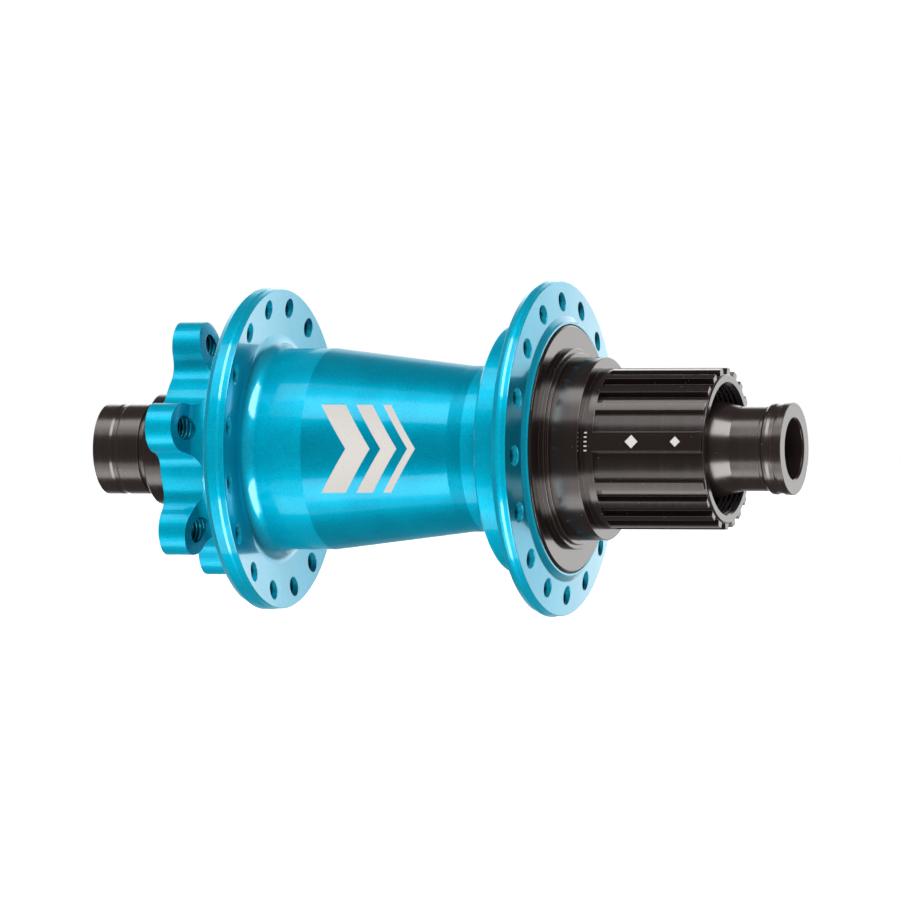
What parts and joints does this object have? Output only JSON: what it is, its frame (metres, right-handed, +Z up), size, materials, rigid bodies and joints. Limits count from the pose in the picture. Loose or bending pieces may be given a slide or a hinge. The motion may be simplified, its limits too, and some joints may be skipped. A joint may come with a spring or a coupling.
{
  "type": "rear bicycle hub",
  "caption": "Rear bicycle hub: turquoise spoke-flange shell with a bolt-on rotor mount, ratchet freehub with pawls, sealed bearings, hollow axle and push-on end caps.",
  "frame": {"origin": "on the hub's axis, midway between the two end faces that the dropouts clamp", "axes": "+Y along the axis to the brake side, -Y to the drive side, +Z up, +X the way the bicycle travels; the shell turns about +Y when rolling forward"},
  "size_m": [0.068, 0.148, 0.068],
  "materials": {
    "shell_anodised": "turquoise anodised, satin bright",
    "black_anodised": "black anodised, turned satin",
    "axle_alloy": "turned, natural",
    "spacer_alloy": "turned, natural",
    "hardened_steel": "ground tool steel",
    "bearing_steel": "polished bearing steel",
    "cage_nylon": "moulded nylon",
    "seal_rubber": "moulded nitrile rubber",
    "spring_steel": "cold rolled strip"
  },
  "bodies": {
    "axle": {"axle": "axle_alloy", "shell_to_freehub_spacer": "spacer_alloy", "freehub_spacer": "spacer_alloy", "left_shell_bearing_inner_race": "bearing_steel", "right_shell_bearing_inner_race": "bearing_steel", "inner_freehub_bearing_inner_race": "bearing_steel", "outer_freehub_bearing_inner_race": "bearing_steel"},
    "shell": {"hub_shell": "shell_anodised", "drive_ring": "hardened_steel", "left_shell_bearing_outer_race": "bearing_steel", "left_shell_bearing_seals": "seal_rubber", "right_shell_bearing_outer_race": "bearing_steel", "right_shell_bearing_seals": "seal_rubber"},
    "freehub": {"freehub_body": "black_anodised", "seal_disc": "black_anodised", "freehub_seal": "seal_rubber", "bearing_circlip": "spring_steel", "pawl_spring_1": "spring_steel", "pawl_spring_2": "spring_steel", "pawl_spring_3": "spring_steel", "pawl_spring_4": "spring_steel", "pawl_spring_5": "spring_steel", "pawl_spring_6": "spring_steel", "inner_freehub_bearing_outer_race": "bearing_steel", "inner_freehub_bearing_seals": "seal_rubber", "outer_freehub_bearing_outer_race": "bearing_steel", "outer_freehub_bearing_seals": "seal_rubber"},
    "left_cap": {"left_end_cap": "black_anodised", "left_o_ring": "seal_rubber"},
    "right_cap": {"right_end_cap": "black_anodised", "right_o_ring": "seal_rubber"},
    "left_shell_bearing_ball_train": {"left_shell_bearing_balls": "bearing_steel", "left_shell_bearing_cage": "cage_nylon"},
    "right_shell_bearing_ball_train": {"right_shell_bearing_balls": "bearing_steel", "right_shell_bearing_cage": "cage_nylon"},
    "inner_freehub_bearing_ball_train": {"inner_freehub_bearing_balls": "bearing_steel", "inner_freehub_bearing_cage": "cage_nylon"},
    "outer_freehub_bearing_ball_train": {"outer_freehub_bearing_balls": "bearing_steel", "outer_freehub_bearing_cage": "cage_nylon"},
    "pawl_1": {"pawl_1": "hardened_steel"},
    "pawl_2": {"pawl_2": "hardened_steel"},
    "pawl_3": {"pawl_3": "hardened_steel"},
    "pawl_4": {"pawl_4": "hardened_steel"},
    "pawl_5": {"pawl_5": "hardened_steel"},
    "pawl_6": {"pawl_6": "hardened_steel"}
  },
  "joints": [
    {"name": "shell_spin", "type": "hinge", "parent": "axle", "child": "shell", "pos_m": [0, 0, 0], "axis": [0, 1, 0], "continuous": true},
    {"name": "freehub_spin", "type": "hinge", "parent": "axle", "child": "freehub", "pos_m": [0, -0.035, 0], "axis": [0, 1, 0], "continuous": true},
    {"name": "left_shell_bearing_train_spin", "type": "hinge", "parent": "axle", "child": "left_shell_bearing_ball_train", "pos_m": [0, 0.0507, 0], "axis": [0, 1, 0], "continuous": true},
    {"name": "right_shell_bearing_train_spin", "type": "hinge", "parent": "axle", "child": "right_shell_bearing_ball_train", "pos_m": [0, -0.0121, 0], "axis": [0, 1, 0], "continuous": true},
    {"name": "inner_freehub_bearing_train_spin", "type": "hinge", "parent": "axle", "child": "inner_freehub_bearing_ball_train", "pos_m": [0, -0.0199, 0], "axis": [0, 1, 0], "continuous": true},
    {"name": "outer_freehub_bearing_train_spin", "type": "hinge", "parent": "axle", "child": "outer_freehub_bearing_ball_train", "pos_m": [0, -0.0507, 0], "axis": [0, 1, 0], "continuous": true},
    {"name": "pawl_1_swing", "type": "hinge", "parent": "freehub", "child": "pawl_1", "pos_m": [-0.00576, -0.0207, 0.01589], "axis": [0, -1, 0], "range_deg": [0, 5.5]},
    {"name": "pawl_2_swing", "type": "hinge", "parent": "freehub", "child": "pawl_2", "pos_m": [-0.01664, -0.0207, 0.00295], "axis": [0, -1, 0], "range_deg": [0, 5.5]},
    {"name": "pawl_3_swing", "type": "hinge", "parent": "freehub", "child": "pawl_3", "pos_m": [-0.01088, -0.0207, -0.01293], "axis": [0, -1, 0], "range_deg": [0, 5.5]},
    {"name": "pawl_4_swing", "type": "hinge", "parent": "freehub", "child": "pawl_4", "pos_m": [0.00576, -0.0207, -0.01589], "axis": [0, -1, 0], "range_deg": [0, 5.5]},
    {"name": "pawl_5_swing", "type": "hinge", "parent": "freehub", "child": "pawl_5", "pos_m": [0.01664, -0.0207, -0.00295], "axis": [0, -1, 0], "range_deg": [0, 5.5]},
    {"name": "pawl_6_swing", "type": "hinge", "parent": "freehub", "child": "pawl_6", "pos_m": [0.01088, -0.0207, 0.01293], "axis": [0, -1, 0], "range_deg": [0, 5.5]},
    {"name": "left_cap_pull", "type": "slide", "parent": "axle", "child": "left_cap", "axis": [0, 1, 0], "range_m": [0, 0.03]},
    {"name": "right_cap_pull", "type": "slide", "parent": "axle", "child": "right_cap", "axis": [0, -1, 0], "range_m": [0, 0.03]}
  ],
  "couplings": [
    {"joint": "left_shell_bearing_train_spin", "follows": "shell_spin", "ratio": 0.5907},
    {"joint": "right_shell_bearing_train_spin", "follows": "shell_spin", "ratio": 0.583},
    {"joint": "inner_freehub_bearing_train_spin", "follows": "freehub_spin", "ratio": 0.5651},
    {"joint": "outer_freehub_bearing_train_spin", "follows": "freehub_spin", "ratio": 0.5651},
    {"joint": "pawl_2_swing", "follows": "pawl_1_swing", "ratio": 1},
    {"joint": "pawl_3_swing", "follows": "pawl_1_swing", "ratio": 1},
    {"joint": "pawl_4_swing", "follows": "pawl_1_swing", "ratio": 1},
    {"joint": "pawl_5_swing", "follows": "pawl_1_swing", "ratio": 1},
    {"joint": "pawl_6_swing", "follows": "pawl_1_swing", "ratio": 1}
  ]
}
